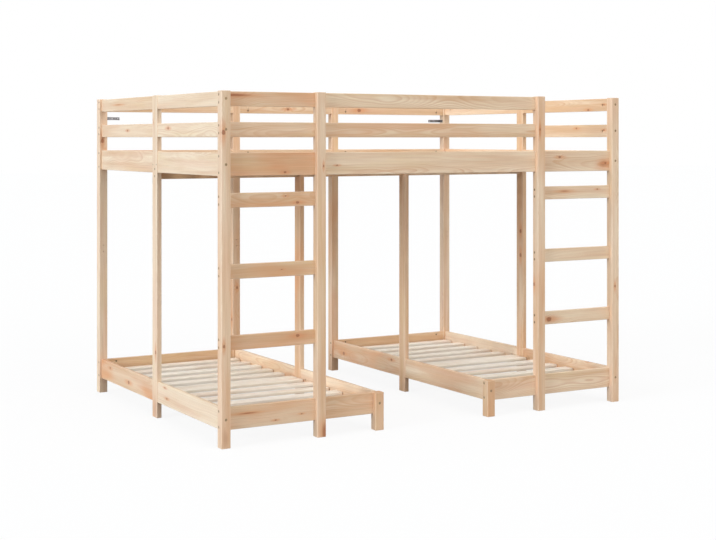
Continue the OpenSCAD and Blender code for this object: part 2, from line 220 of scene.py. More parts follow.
def makeGrainGroup(knotGroup, values):
    # Growth rings of a stem, sawn through by the board, with knots. Grain is the place within the
    # board in metres: along, across and through it. Board is a random number, its tone and its warmth
    tree, given, out = newGroup("pineGrain", "ShaderNodeTree", [
        ("Grain", "Vector"), ("Board", "Vector"), ("Half Size", "Vector"), ("Knot A", "Vector"),
        ("Knot B", "Vector"), ("Knot Sizes", "Vector"), ("Streak", "Vector"), ("Pale", "Color"),
        ("Tan", "Color"), ("Late Wood", "Color"), ("Heart", "Color"), ("Knot Colour", "Color"),
        ("Ring Width", "Float", 0.005), ("Ring Contrast", "Float", 0.4), ("Loose Knots", "Float", 0.3)], [
        ("Color", "Color"), ("Roughness", "Float"), ("Height", "Float")])
    board = separate(tree, given["Board"])
    seed = calc(tree, "MULTIPLY", board["X"], values["seedScale"])
    draws = addNode(tree, "ShaderNodeTexWhiteNoise", {"W": seed}, noise_dimensions="1D").outputs["Color"]
    draws = separate(tree, draws)
    place = vectorCalc(tree, "ADD", given["Grain"], combine(tree, seed, seed, seed))

    # Knots: two that are given, and a scatter of small ones
    sizes = separate(tree, given["Knot Sizes"])
    spread = values["looseSpread"]
    cells = vectorCalc(tree, "DIVIDE", place, spread)
    cell = addNode(tree, "ShaderNodeTexVoronoi", {"Vector": cells, "Scale": 1.0}, feature="F1")
    offset = vectorCalc(tree, "MULTIPLY", vectorCalc(
        tree, "SUBTRACT", cells, cell.outputs["Position"]), (spread[0], spread[1], 0.0))
    luck = separate(tree, cell.outputs["Color"])
    there = calc(tree, "LESS_THAN", luck["X"], given["Loose Knots"])
    radius = calc(tree, "MULTIPLY", calc(tree, "MULTIPLY_ADD", luck["Y"], *values["looseRadius"]), there)
    core, rim, halo, bend = 0.0, 0.0, 0.0, 0.0
    for where, size in ((given["Knot A"], sizes["X"]), (given["Knot B"], sizes["Y"]), (offset, radius)):
        mark = addNode(tree, "ShaderNodeGroup", node_tree=knotGroup)
        feed(tree, mark.inputs["Offset"], where)
        feed(tree, mark.inputs["Radius"], size)
        core = calc(tree, "MAXIMUM", core, mark.outputs["Core"])
        rim = calc(tree, "MAXIMUM", rim, mark.outputs["Rim"])
        halo = calc(tree, "MAXIMUM", halo, mark.outputs["Halo"])
        bend = calc(tree, "MULTIPLY_ADD", mark.outputs["Bend"], size, bend)

    # Rings round a pith that lies beside the board and wanders along it
    wander = stray(tree, vectorCalc(tree, "MULTIPLY", place, values["pithScale"]), 1.0, 2.0)
    wander = vectorCalc(tree, "MULTIPLY", wander, values["pithStray"])
    pith = combine(tree, 0.0, calc(tree, "MULTIPLY_ADD", draws["X"], *values["pithAcross"]),
                   calc(tree, "MULTIPLY_ADD", draws["Y"], *values["pithThrough"]))
    across = vectorCalc(tree, "ADD", vectorCalc(tree, "ADD", given["Grain"], wander), pith)
    across = vectorCalc(tree, "MULTIPLY", across, (0.0, 1.0, 1.0))
    reach = calc(tree, "MULTIPLY_ADD", bend, values["knotBend"], vectorCalc(tree, "LENGTH", across))
    phase = calc(tree, "DIVIDE", reach, given["Ring Width"])
    step = calc(tree, "FRACT", phase)
    year = addNode(tree, "ShaderNodeTexWhiteNoise", {
        "W": calc(tree, "ADD", calc(tree, "FLOOR", phase), seed)}, noise_dimensions="1D").outputs["Value"]
    late = calc(tree, "MULTIPLY", soften(tree, step, *values["lateRise"]), calc(
        tree, "MULTIPLY_ADD", year, *values["lateYear"]))
    late = calc(tree, "MULTIPLY", late, fade(tree, step, *values["lateFall"]))

    def drawnOut(scales, detail, rough):
        return noise(tree, vectorCalc(tree, "MULTIPLY", place, scales), 1.0, detail, rough).outputs

    # Fibres and broad bands of tone, then stains and knots over them
    fibre, band, cloud = (drawnOut(*values[label])["Fac"] for label in ("fibre", "band", "cloud"))
    drift = separate(tree, drawnOut(*values["drift"])["Color"])
    tone = swing(tree, band, *values["bandTone"])
    tone = calc(tree, "MULTIPLY_ADD", board["Y"], values["boardTone"], tone, clamp=True)
    color = mixColor(tree, tone, given["Pale"], given["Tan"])
    frayed = swing(tree, band, values["fray"], vectorCalc(tree, "LENGTH", given["Streak"]))
    stain = calc(tree, "MULTIPLY", sizes["Z"], values["stainShare"])
    deep = mixColor(tree, 1.0, given["Knot Colour"], values["rimDark"], "MULTIPLY")
    color = layer(tree, color, (
        (late, given["Ring Contrast"], given["Late Wood"]),
        (soften(tree, drift["Y"], *values["driftFrom"]), values["driftShare"], paint(*values["rosy"])),
        (soften(tree, drift["X"], *values["driftFrom"]), values["driftShare"], paint(*values["honey"])),
        (soften(tree, cloud, *values["heartFrom"]), board["Z"], given["Heart"]),
        (fade(tree, frayed, *values["stainOuter"]), stain, given["Heart"]),
        (fade(tree, frayed, *values["stainInner"]), stain, given["Knot Colour"]),
        (halo, values["haloShare"], given["Heart"]),
        (core, values["coreShare"], given["Knot Colour"]),
        (rim, values["rimShare"], deep)))
    shade = swing(tree, fibre, *values["fibreShade"])
    shade = addNode(tree, "ShaderNodeCombineColor", {"Red": shade, "Green": shade, "Blue": shade}).outputs[0]
    color = mixColor(tree, 1.0, color, shade, "MULTIPLY")

    # Eased edges are paler, partly from wear and partly as a painted highlight, and the sawn ends soak up
    # colour
    ends = vectorCalc(tree, "SUBTRACT", given["Half Size"], vectorCalc(tree, "ABSOLUTE", given["Grain"]))
    ends = separate(tree, ends)
    low, high = (calc(tree, operation, ends["Y"], ends["Z"]) for operation in ("MINIMUM", "MAXIMUM"))
    edge = calc(tree, "MAXIMUM", low, calc(tree, "MINIMUM", high, ends["X"]))
    sawn = fade(tree, ends["X"], *values["sawn"])
    feed(tree, out["Color"], layer(tree, color, (
        (fade(tree, edge, *values["edge"]), values["edgeWearAndHighlightShare"], given["Pale"]),
        (sawn, values["sawnShare"], given["Late Wood"]))))
    feed(tree, out["Roughness"], addUp(tree, values["rough"], (
        (late, values["roughLate"]), (sawn, values["roughSawn"]), (core, values["roughCore"]))))
    feed(tree, out["Height"], addUp(tree, 0.0, (
        (fibre, values["highFibre"]), (late, values["highLate"]), (rim, values["highRim"]))))
    return tree


scuffSet = {
    # A noise's detail and roughness, then the levels between which the marks appear
    "patches": (4.0, 0.6), "patchesFrom": (0.42, 0.72),
    "scratches": (2.0, 0.7), "scratchesFrom": (0.6, 0.75), "scratchScale": (5.0, 60.0, 60.0),
}


def makeScuffGroup(values):
    # Faint marks of handling: a mask with soft patches and fine scratches
    tree, given, out = newGroup("handling", "ShaderNodeTree", [
        ("Place", "Vector"), ("Scale", "Float", 4.0)], [("Patches", "Float"), ("Scratches", "Float")])
    fine = vectorCalc(tree, "MULTIPLY", given["Place"], values["scratchScale"])
    patches = noise(tree, given["Place"], given["Scale"], *values["patches"]).outputs["Fac"]
    scratches = noise(tree, fine, given["Scale"], *values["scratches"]).outputs["Fac"]
    feed(tree, out["Patches"], soften(tree, patches, *values["patchesFrom"]))
    feed(tree, out["Scratches"], soften(tree, scratches, *values["scratchesFrom"]))
    return tree


grainGroup = makeGrainGroup(makeKnotGroup(knotSet), grainSet)
scuffGroup = makeScuffGroup(scuffSet)
print("shader groups made")


# Materials

def startMaterial(name, scuffScale):
    # A new material, its tree and shader, and the marks of handling on it
    material = bpy.data.materials.new(name)
    material.use_nodes = True
    tree = material.node_tree
    scuff = addNode(tree, "ShaderNodeGroup", node_tree=scuffGroup)
    feed(tree, scuff.inputs["Place"], addNode(tree, "ShaderNodeTexCoord").outputs["Object"])
    scuff.inputs["Scale"].default_value = scuffScale
    return material, tree, tree.nodes["Principled BSDF"], scuff.outputs


def finishMaterial(tree, shader, color, rough, height, values):
    bump = addNode(tree, "ShaderNodeBump", {
        "Strength": values["bump"], "Distance": values["bumpDepth"], "Height": height})
    feed(tree, shader.inputs["Base Color"], color)
    feed(tree, shader.inputs["Roughness"], rough)
    feed(tree, shader.inputs["Normal"], bump.outputs["Normal"])


timberSet = {
    "pinePost": {"pale": (239, 219, 193), "tan": (213, 176, 139), "late": (201, 148, 104),
                 "ring": 0.0042, "contrast": 0.48, "knots": 0.16},
    "pineRail": {"pale": (238, 218, 190), "tan": (213, 176, 138), "late": (199, 146, 101),
                 "ring": 0.0050, "contrast": 0.55, "knots": 0.05},
    "pineBoard": {"pale": (238, 218, 191), "tan": (212, 174, 136), "late": (199, 145, 101),
                  "ring": 0.0055, "contrast": 0.55, "knots": 0.06},
    "pineSlat": {"pale": (252, 244, 231), "tan": (246, 234, 216), "late": (232, 207, 177),
                 "ring": 0.0045, "contrast": 0.40, "knots": 0.08},
}
timberCommon = {
    "heart": (213, 146, 98), "knot": (150, 80, 40),  # heart is also the stain round a knot
    "scuffScale": 3.0, "scuffShare": 0.10, "scuffRough": 0.07,
    "bump": 0.12, "bumpDepth": 0.001,
}
timberLayers = {  # what the grain group reads from a board's vertices
    "Grain": "grain", "Half Size": "half", "Board": "board", "Knot A": "knotA", "Knot B": "knotB",
    "Knot Sizes": "knotSizes", "Streak": "streak",
}


def makeTimber(name, values):
    material, tree, shader, scuff = startMaterial(name, values["scuffScale"])
    grain = addNode(tree, "ShaderNodeGroup", node_tree=grainGroup)
    for label, attribute in timberLayers.items():
        source = addNode(tree, "ShaderNodeAttribute", attribute_name=attribute)
        feed(tree, grain.inputs[label], source.outputs["Vector"])
    for label, key in (("Pale", "pale"), ("Tan", "tan"), ("Late Wood", "late"), ("Heart", "heart"),
                       ("Knot Colour", "knot")):
        grain.inputs[label].default_value = paint(*values[key])
    for label, key in (("Ring Width", "ring"), ("Ring Contrast", "contrast"), ("Loose Knots", "knots")):
        grain.inputs[label].default_value = values[key]
    worn = (scuff["Patches"], values["scuffShare"], paint(*values["tan"]))
    rough = calc(tree, "MULTIPLY_ADD", scuff["Patches"], values["scuffRough"], grain.outputs["Roughness"])
    finishMaterial(tree, shader, layer(tree, grain.outputs["Color"], [worn]), rough,
                   grain.outputs["Height"], values)
    return material


metalSet = {
    "zincPlate": {"color": (160, 137, 108), "dull": (134, 112, 86), "rough": 0.5},
    "angleSteel": {"color": (136, 136, 140), "dull": (110, 109, 110), "rough": 0.45},
}
metalCommon = {"scuffScale": 60.0, "scuffRough": 0.2, "bump": 0.1, "bumpDepth": 0.0002}


def makeMetal(name, values):
    material, tree, shader, scuff = startMaterial(name, values["scuffScale"])
    shader.inputs["Metallic"].default_value = 1.0
    color = mixColor(tree, scuff["Patches"], paint(*values["color"]), paint(*values["dull"]))
    rough = calc(tree, "MULTIPLY_ADD", scuff["Patches"], values["scuffRough"], values["rough"])
    finishMaterial(tree, shader, color, rough, scuff["Scratches"], values)
    return material


materials = {name: makeTimber(name, {**timberCommon, **values}) for name, values in timberSet.items()}
materials.update({name: makeMetal(name, {**metalCommon, **values}) for name, values in metalSet.items()})
print("materials made:", len(materials))


# Meshes from the frame

meshSet = {"weld": 0.00001, "sharp": 38}  # metres between points that are one, degrees at a kept edge


def camel(node):
    head, *rest = node.split("_")
    return head + "".join(word.capitalize() for word in rest)


def mergedCopy(node):
    mesh = bmesh.new()
    mesh.from_mesh(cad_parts[node].data)
    bmesh.ops.remove_doubles(mesh, verts=mesh.verts, dist=meshSet["weld"])
    return mesh


def plainMesh(mesh, name):
    data = bpy.data.meshes.new(name)
    mesh.to_mesh(data)
    mesh.free()
    return data


def addObject(name, data):
    item = bpy.data.objects.new(name, data)
    bpy.context.scene.collection.objects.link(item)
    return item


def cornersOf(part):
    low = Vector([min(vertex.co[axis] for vertex in part) for axis in range(3)])
    high = Vector([max(vertex.co[axis] for vertex in part) for axis in range(3)])
    return low, high


def partOrder(part):
    # Separate solids are taken in order of place
    low, high = cornersOf(part)
    return [round(value, 3) for value in (low + high) / 2]


def looseParts(mesh):
    # Lists of vertices, one for each separate solid
    parts, seen = [], set()
    for start in mesh.verts:
        if start in seen:
            continue
        part, waiting = [], [start]
        seen.add(start)
        while waiting:
            vertex = waiting.pop()
            part.append(vertex)
            for edge in vertex.link_edges:
                other = edge.other_vert(vertex)
                if other not in seen:
                    seen.add(other)
                    waiting.append(other)
        parts.append(part)
    return sorted(parts, key=partOrder)


def partBoxes(node):
    # The lowest and highest corner of each separate solid of a node
    source = mergedCopy(node)
    boxes = [cornersOf(part) for part in looseParts(source)]
    source.free()
    return boxes


def endOf(low, high, axis, sign):
    # The middle of a box's end, and the way that the end faces
    place = (low + high) / 2
    place[axis] = (high if sign > 0 else low)[axis]
    return place, Vector([sign if index == axis else 0 for index in range(3)])


def placePiece(name, data, material, nodes):
    # Puts a finished mesh in the scene as a piece that stands for these nodes
    piece = addObject(name, data)
    data.materials.clear()
    data.materials.append(materials[material])
    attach(piece, "root")
    if nodes:
        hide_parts(*nodes)
    return piece


def smoothMesh(data):
    data.shade_smooth()
    data.set_sharp_from_angle(angle=math.radians(meshSet["sharp"]))


def weighNormals(piece):
    # Large faces keep their own normal, so that only the eased edges look round
    piece.modifiers.new("Weighted Normal", "WEIGHTED_NORMAL").keep_sharp = True


# Timber: posts, boards, rails, rungs, beam and cleats

def look(tone=None, warm=None, knots=(), streak=None, stain=1.0):
    # A board's look. Above 0 its tone is paler, and warm is its share of heartwood: what isn't given
    # is drawn by chance. A knot is (place along the board, axis across it, place on that axis,
    # radius), a streak ends in its length and width instead, and stain is how strong the streak is
    return {"tone": tone, "warm": warm, "knots": knots, "streak": streak, "stain": stain}


timberPieces = {
    # one look for each of a node's solids, in order of place. Some darker tones are painted shade, as marked
    # below
    "post_front_left": [look(
        0.2, 0.25, knots=[(1.729, "x", -1.388, 0.010), (0.56, "x", -1.385, 0.0065)],
        streak=(0.05, "x", -1.3725, 0.10, 0.04), stain=0.35)],
    "post_front_right": [look(0.1, 0.15, knots=[(0.746, "x", 1.368, 0.006)])],
    "post_ladder_left": [look(
        0.0, 0.2, knots=[(1.539, "x", -0.767, 0.005)], streak=(0.03, "x", -0.763, 0.09, 0.030))],
    "post_ladder_right": [look(
        -0.1, 0.3, knots=[(1.752, "x", 0.766, 0.005), (0.786, "y", -0.968, 0.008)],
        streak=(1.752, "x", 0.766, 0.06, 0.008))],
    "post_back_left": [look(1.0, 0.25, knots=[
        (1.68, "x", -1.380, 0.010), (1.581, "x", -1.360, 0.008)])],
    "post_back_right": [look(0.2, 0.2)],
    "post_back_inner_left": [look(-0.3, 0.4, knots=[
        (0.648, "x", -0.392, 0.007), (0.424, "y", 0.976, 0.008)])],
    "post_back_inner_right": [look(-0.2, 0.4)],
    "post_mid_left": [look(0.7, 0.05, streak=(0.05, "y", 0.0, 0.13, 0.06), stain=0.45)],
    # its darker tone is partly the wood and partly painted shade below the deck
    "post_mid_right": [look(-0.5, 0.35, knots=[
        (1.043, "y", -0.01, 0.010), (0.874, "y", -0.01, 0.010)])],
    # painted shade: the two inner middle posts are toned dark for the shade that falls on them under the deck
    # and bed rails
    "post_mid_inner_left": [look(-0.9, 0.6)],
    "post_mid_inner_right": [look(-0.6, 0.4)],
    "leg_left": [look(-0.5, 0.35)],
    "leg_right": [look(-0.9, 0.5)],
    "front_top_rail_left": [look(-0.1, 0.5, streak=(-1.305, "z", 1.934, 0.17, 0.014))],
    "front_second_rail_left": [look(0.1, 0.2)],
    "front_board_left": [look(-0.9, 0.6, knots=[(-0.998, "z", 1.506, 0.006)])],
    "front_top_rail_centre": [look(0.4, 0.1)],
    "front_second_rail_centre": [look(0.0, 0.4)],
    "front_board_centre": [look(0.5, 0.05, knots=[(-0.664, "z", 1.542, 0.004)])],
    "front_board_right": [look(
        0.5, 0.25, knots=[(1.312, "z", 1.538, 0.006), (0.942, "z", 1.579, 0.007)],
        streak=(1.30, "z", 1.538, 0.07, 0.034))],
    "back_top_rails": [
        look(-0.3, 0.1),
        look(-0.4, 0.1, knots=[(0.012, "z", 1.906, 0.008)]),
        look(-0.5, 0.2, knots=[(0.602, "z", 1.904, 0.011)])],
    "back_second_rails": [look()] * 3,
    "back_boards": [look()] * 3,
    "left_top_rails": [look(0.7, 0.0), look(0.3, 0.1, streak=(0.644, "z", 1.914, 0.12, 0.006))],
    "left_second_rails": [
        look(0.9, 0.0, knots=[(-0.204, "z", 1.756, 0.007)]),
        look(0.5, 0.1, knots=[(0.476, "z", 1.746, 0.006)])],
    "left_boards": [look(0.8, 0.0), look(0.4, 0.2)],
    "right_top_rails": [look(-0.9, 0.1, knots=[
        (-0.749, "z", 1.883, 0.007), (-0.908, "z", 1.916, 0.005)]), look()],
    "right_second_rails": [look(-0.2, 0.0, knots=[(-0.908, "z", 1.75, 0.005)]), look()],
    "right_boards": [look()] * 2,
    "ladder_rungs_left": [
        look(-0.5, 0.6, knots=[(-0.918, "z", 0.584, 0.008)]),
        look(-0.5, 0.5),
        look(-0.5, 0.6, knots=[(-0.919, "z", 1.335, 0.007), (-0.995, "z", 1.373, 0.004)])],
    "ladder_rungs_right": [
        look(0.6, 0.3, knots=[(0.857, "z", 0.561, 0.013)]),
        look(0.7, 0.1),
        look(0.7, 0.2, knots=[(1.245, "z", 1.371, 0.004)],
             streak=(0.977, "z", 1.362, 0.10, 0.013))],
    "deck_beam": [look(-0.9), look(-0.9), look()],
    "deck_cleats_front": [look()] * 3,
    "deck_cleats_back": [look()] * 3,
    "left_bed_outer_rails": [
        look(1.0, 0.0, knots=[(-0.154, "z", 0.202, 0.005), (-0.184, "z", 0.141, 0.006)]),
        look(-0.2, 0.9, knots=[(0.455, "z", 0.142, 0.010)])],
    "left_bed_inner_rails": [look(0.1, 0.3), look(0.1, 0.4)],
    "left_bed_front_rails": [
        look(-0.2, 0.4, knots=[(-1.057, "z", 0.121, 0.004), (-0.893, "z", 0.141, 0.0035)],
             streak=(-1.231, "z", 0.177, 0.11, 0.009)),
        look(-0.3, 0.3)],
    # painted shade: this rail is toned darkest for the shade that falls on its inner face
    "left_bed_back_rail": [look(-1.0, 0.0)],
    "left_bed_outer_cleats": [look()] * 2,
    "left_bed_inner_cleats": [look()] * 2,
    "right_bed_outer_rails": [look(-0.2, 0.4), look(0.6, 0.0)],
    "right_bed_inner_rails": [
        look(0.0, 0.3),
        look(0.0, 0.6, knots=[(0.806, "z", 0.145, 0.010), (0.144, "z", 0.19, 0.008)])],
    "right_bed_front_rails": [look(0.5, 0.15), look(0.3, 0.1)],
    # painted shade: this rail is toned darkest for the shade that falls on its inner face
    "right_bed_back_rail": [look(-1.0, 0.0)],
    "right_bed_outer_cleats": [look()] * 2,
    "right_bed_inner_cleats": [look()] * 2,
}
chanceSet = {"tone": (-0.3, 0.3), "warm": (0.1, 0.4)}
knotFade = 0.5  # how soon a post's knot ends behind its face
# The rounding of a post's ends, then how steep and how level a face is that counts as an end
postEnds = {"easing": 0.002, "segments": 2, "round": 0.5, "upright": 0.99, "level": 0.0001}


def describeBoard(part, given, layers):
    # Writes what the grain group reads onto one board's vertices
    low, high = cornersOf(part)
    middle, size = (low + high) / 2, high - low
    along, across, through = sorted(range(3), key=lambda axis: -size[axis])
    number, tone, warm = dice.random(), dice.uniform(*chanceSet["tone"]), dice.uniform(*chanceSet["warm"])
    board = (number, tone if given["tone"] is None else given["tone"],
             warm if given["warm"] is None else given["warm"])
    half = (size[along] / 2, size[across] / 2, size[through] / 2)
    radii = [knot[-1] for knot in given["knots"]] + [0.0, 0.0]
    sizes = (radii[0], radii[1], given["stain"] if given["streak"] else 0.0)

    def fromMark(vertex, place, letter, beside):
        # How far along and across from a mark, then how deep behind the face that a post's mark is on.
        # A plank's mark goes right through
        axis = "xyz".index(letter)
        rest = ({0, 1, 2} - {along, axis}).pop()
        deep = (vertex.co[rest] - low[rest]) * knotFade if along == 2 else 0.0
        return vertex.co[along] - place, vertex.co[axis] - beside, deep

    for vertex in part:
        local = vertex.co - middle
        vertex[layers["grain"]] = (local[along], local[across], local[through])
        vertex[layers["half"]] = half
        vertex[layers["board"]] = board
        vertex[layers["knotSizes"]] = sizes
        for name, (*mark, _) in zip(("knotA", "knotB"), given["knots"]):
            vertex[layers[name]] = fromMark(vertex, *mark)
        if given["streak"]:
            *mark, length, width = given["streak"]
            ahead, aside, deep = fromMark(vertex, *mark)
            vertex[layers["streak"]] = (ahead / length, aside / width, deep / width)


def easeEnds(mesh, values):
    # Rounds the outline of an upright's two end faces
    for sign in (-1, 1):
        cap = [face for face in mesh.faces if face.normal.z * sign > values["upright"]]
        level = max(face.calc_center_median().z * sign for face in cap) - values["level"]
        cap = [face for face in cap if face.calc_center_median().z * sign > level]
        made = bmesh.ops.dissolve_faces(mesh, faces=cap)["region"]
        edges = list(dict.fromkeys(edge for face in made for edge in face.edges))
        bmesh.ops.bevel(mesh, geom=edges, offset=values["easing"], segments=values["segments"],
                        profile=values["round"], affect="EDGES")
    # The bevel gives its new faces another order each run, so all are put in order of place
    for items, place in ((mesh.verts, lambda vertex: vertex.co[:]),
                         (mesh.faces, lambda face: (*face.calc_center_median(), face.calc_area()))):
        ranks = {item: rank for rank, item in enumerate(sorted(items, key=place))}
        items.sort(key=ranks.get)


def timberOf(node):
    # Posts and legs, then the deck's boards and the beds' rails, then all that is narrower
    if node.startswith(("post", "leg")):
        return "pinePost"
    return "pineBoard" if "board" in node or ("bed" in node and "rail" in node) else "pineRail"


def makeTimberPiece(node, looks):
    mesh, material = mergedCopy(node), timberOf(node)
    if material == "pinePost":
        easeEnds(mesh, postEnds)
    layers = {name: mesh.verts.layers.float_vector.new(name) for name in timberLayers.values()}
    for part, given in zip(looseParts(mesh), looks, strict=True):
        describeBoard(part, given, layers)
    data = plainMesh(mesh, camel(node))
    smoothMesh(data)
    weighNormals(placePiece(camel(node), data, material, [node]))


for node, looks in timberPieces.items():
    makeTimberPiece(node, looks)
print("timber made:", len(timberPieces), "pieces")


# Slats: one Geometry Nodes tree lays an eased slat on each point

slatPieces = {
    "deck_slats": {"edgeRadius": 0.003, "turn": math.pi / 2, "seed": 3},
    "left_bed_slats": {"edgeRadius": 0.003, "turn": 0.0, "seed": 8},
    "right_bed_slats": {"edgeRadius": 0.003, "turn": 0.0, "seed": 15},
}
# Points round each corner, then the range of a slat's random number, tone and warmth
slatSet = {"cornerPoints": 3, "least": (0.0, -0.35, 0.0), "most": (1.0, 0.45, 0.22)}


def storeVector(tree, geometry, name, value, domain="POINT"):
    return addNode(tree, "GeometryNodeStoreNamedAttribute", {
        "Geometry": geometry, "Name": name, "Value": value},
        data_type="FLOAT_VECTOR", domain=domain).outputs["Geometry"]


def layOn(tree, points, instance, rotation, scale=(1.0, 1.0, 1.0)):
    return addNode(tree, "GeometryNodeInstanceOnPoints", {
        "Points": points, "Instance": instance, "Rotation": rotation, "Scale": scale}).outputs["Instances"]


def dress(tree, instances, material, out):
    # The end of each tree: real geometry in its material
    real = addNode(tree, "GeometryNodeRealizeInstances", {"Geometry": instances})
    dressed = addNode(tree, "GeometryNodeSetMaterial", {
        "Geometry": real.outputs["Geometry"], "Material": material})
    feed(tree, out["Geometry"], dressed.outputs["Geometry"])


def makeSlatTree(values):
    tree, given, out = newGroup("slatRow", "GeometryNodeTree", [
        ("Geometry", "Geometry"), ("Length", "Float", 1.0), ("Width", "Float", 0.08),
        ("Thickness", "Float", 0.018), ("Edge Radius", "Float", 0.003), ("Turn", "Float", 0.0),
        ("Seed", "Int", 1), ("Material", "Material")], [("Geometry", "Geometry")])
    half = calc(tree, "MULTIPLY", given["Length"], 0.5)
    line = addNode(tree, "GeometryNodeCurvePrimitiveLine", {
        "Start": combine(tree, x=calc(tree, "MULTIPLY", half, -1.0)), "End": combine(tree, x=half)})
    line = addNode(tree, "GeometryNodeSetCurveNormal", {"Curve": line.outputs["Curve"]}, mode="Z_UP")
    section = addNode(tree, "GeometryNodeCurvePrimitiveQuadrilateral", {
        "Width": given["Width"], "Height": given["Thickness"]})
    section = addNode(tree, "GeometryNodeFilletCurve", {
        "Curve": section.outputs["Curve"], "Radius": given["Edge Radius"],
        "Count": values["cornerPoints"]}, mode="POLY")
    slat = addNode(tree, "GeometryNodeCurveToMesh", {
        "Curve": line.outputs["Curve"], "Profile Curve": section.outputs["Curve"], "Fill Caps": True})
    place = addNode(tree, "GeometryNodeInputPosition").outputs[0]
    slat = storeVector(tree, slat.outputs["Mesh"], "grain", place)
    size = combine(tree, given["Length"], given["Width"], given["Thickness"])
    slat = storeVector(tree, slat, "half", vectorCalc(tree, "MULTIPLY", size, (0.5, 0.5, 0.5)))
    rows = layOn(tree, given["Geometry"], slat, combine(tree, z=given["Turn"]))
    draw = addNode(tree, "FunctionNodeRandomValue", {
        "Min": values["least"], "Max": values["most"], "Seed": given["Seed"]}, data_type="FLOAT_VECTOR")
    rows = storeVector(tree, rows, "board", draw.outputs[0], "INSTANCE")
    dress(tree, rows, given["Material"], out)
    return tree


def growMesh(name, points, tree, values, attributes=None):
    # Runs a tree on loose points, and returns the plain mesh that it makes
    pointMesh = bpy.data.meshes.new(name + "Points")
    pointMesh.from_pydata([tuple(point) for point in points], [], [])
    for label, rows in (attributes or {}).items():
        kind, field = ("FLOAT_VECTOR", "vector") if isinstance(rows[0], Vector) else ("FLOAT", "value")
        for item, row in zip(pointMesh.attributes.new(label, kind, "POINT").data, rows):
            setattr(item, field, row)
    holder = addObject(name + "Holder", pointMesh)
    modifier = holder.modifiers.new(name, "NODES")
    modifier.node_group = tree
    for socket in tree.interface.items_tree:
        if socket.in_out == "INPUT" and socket.name in values:
            modifier[socket.identifier] = values[socket.name]
    view = bpy.context.evaluated_depsgraph_get()
    data = bpy.data.meshes.new_from_object(holder.evaluated_get(view), depsgraph=view)
    data.name = name
    holder.modifiers.remove(modifier)
    bpy.data.objects.remove(holder)
    smoothMesh(data)
    return data


slatTree = makeSlatTree(slatSet)
for node, values in slatPieces.items():
    boxes = partBoxes(node)
    low, high = boxes[0]
    length, width, thickness = sorted(high - low, reverse=True)
    data = growMesh(camel(node), [(low + high) / 2 for low, high in boxes], slatTree, {
        "Length": length, "Width": width, "Thickness": thickness, "Edge Radius": values["edgeRadius"],
        "Turn": values["turn"], "Seed": values["seed"], "Material": materials["pineSlat"]})
    weighNormals(placePiece(camel(node), data, "pineSlat", [node]))
    print(camel(node), "slats:", len(boxes))


# Fasteners: turned prototypes, laid on points that face outwards

# Floor and lip are shares of the hole, roll is one of the edge, and the dome is shares and depths
boltSet = {"radius": 0.0075, "head": 0.004, "edge": 0.0007, "roll": 0.4, "hole": 0.003, "depth": 0.0024,
           "floor": 0.9, "lip": 1.15, "lipDepth": 0.0002, "shank": 0.004, "sides": 18}
screwSet = {"radius": 0.0045, "head": 0.0025, "dome": ((0.72, 0.0002), (0.94, 0.0009), (1.0, 0.0015)),
            "hole": 0.0026, "depth": 0.0015, "floor": 0.5, "lip": 1.12, "lipDepth": 0.0001,
            "shank": 0.002, "sides": 16}
nutSet = {"radius": 0.006, "rim": 0.0018, "edge": 0.0006, "hole": 0.0045, "depth": 0.001, "floor": 0.98,
          "shank": 0.00588, "sides": 12}
crossSet = {"halfArm": 0.2, "hollow": 0.42}  # half an arm's angle, and the share left between arms
slitSet = {"width": 0.2, "least": 0.001}  # half its width as a share of its length, and the least divisor
shankSet = {"sides": 12, "seed": 5}  # the seed turns each head by chance
headShare = 0.9  # points that lie at least this far out, as a share of the widest, are the head's


def hexagon(angle, size):
    flat, half = math.pi / 3, math.pi / 6
    return size * math.cos(half) / math.cos((angle + half) % flat - half)


def cross(angle, size):
    # Four narrow arms, as in a cross-head screw
    fold = abs((angle + math.pi / 4) % (math.pi / 2) - math.pi / 4)
    return size if fold < crossSet["halfArm"] else size * crossSet["hollow"]


def slit(angle, size):
    ahead, aside = (max(abs(turn(angle)), slitSet["least"]) for turn in (math.cos, math.sin))
    return min(size / ahead, size * slitSet["width"] / aside)


def turned(name, rings, sides):
    # rings are (radius, depth), and an outline where they aren't round, from the middle of the driven
    # end to the tip
    mesh = bmesh.new()
    loops = []
    for radius, depth, *outline in rings:
        loop = []
        for step in range(sides):
            angle = 2 * math.pi * step / sides
            reach = outline[0](angle, radius) if outline else radius
            loop.append(mesh.verts.new((reach * math.cos(angle), reach * math.sin(angle), -depth)))
        loops.append(loop)
    for first, second in zip(loops, loops[1:]):
        for step in range(sides):
            after = (step + 1) % sides
            mesh.faces.new((first[step], second[step], second[after], first[after]))
    mesh.faces.new(loops[0])
    mesh.faces.new(reversed(loops[-1]))
    bmesh.ops.recalc_face_normals(mesh, faces=mesh.faces)
    return addObject(name, plainMesh(mesh, name))


def driven(values, outline):
    # The rings of a driven hole, from its floor to the lip round it
    hole = values["hole"]
    return [(hole * values["floor"], values["depth"], outline), (hole, values["lipDepth"], outline),
            (hole * values["lip"], 0.0)]


def makeBoltHead(values):
    radius, edge, roll = values["radius"], values["edge"], values["edge"] * values["roll"]
    return turned("boltHead", driven(values, hexagon) + [
        (radius - 2 * edge, 0.0), (radius - roll, roll), (radius, edge), (radius, values["head"])],
        values["sides"])


def makeScrewHead(values):
    radius = values["radius"]
    dome = [(radius * share, depth) for share, depth in values["dome"]]
    return turned("screwHead", driven(values, cross) + dome + [(radius, values["head"])], values["sides"])


def makeNutEnd(values):
    radius, edge, hole = values["radius"], values["edge"], values["hole"]
    return turned("nutEnd", [
        (hole * values["floor"], values["depth"], slit), (hole, 0.0, slit),
        (radius - edge, 0.0), (radius, edge), (radius, values["rim"])], values["sides"])


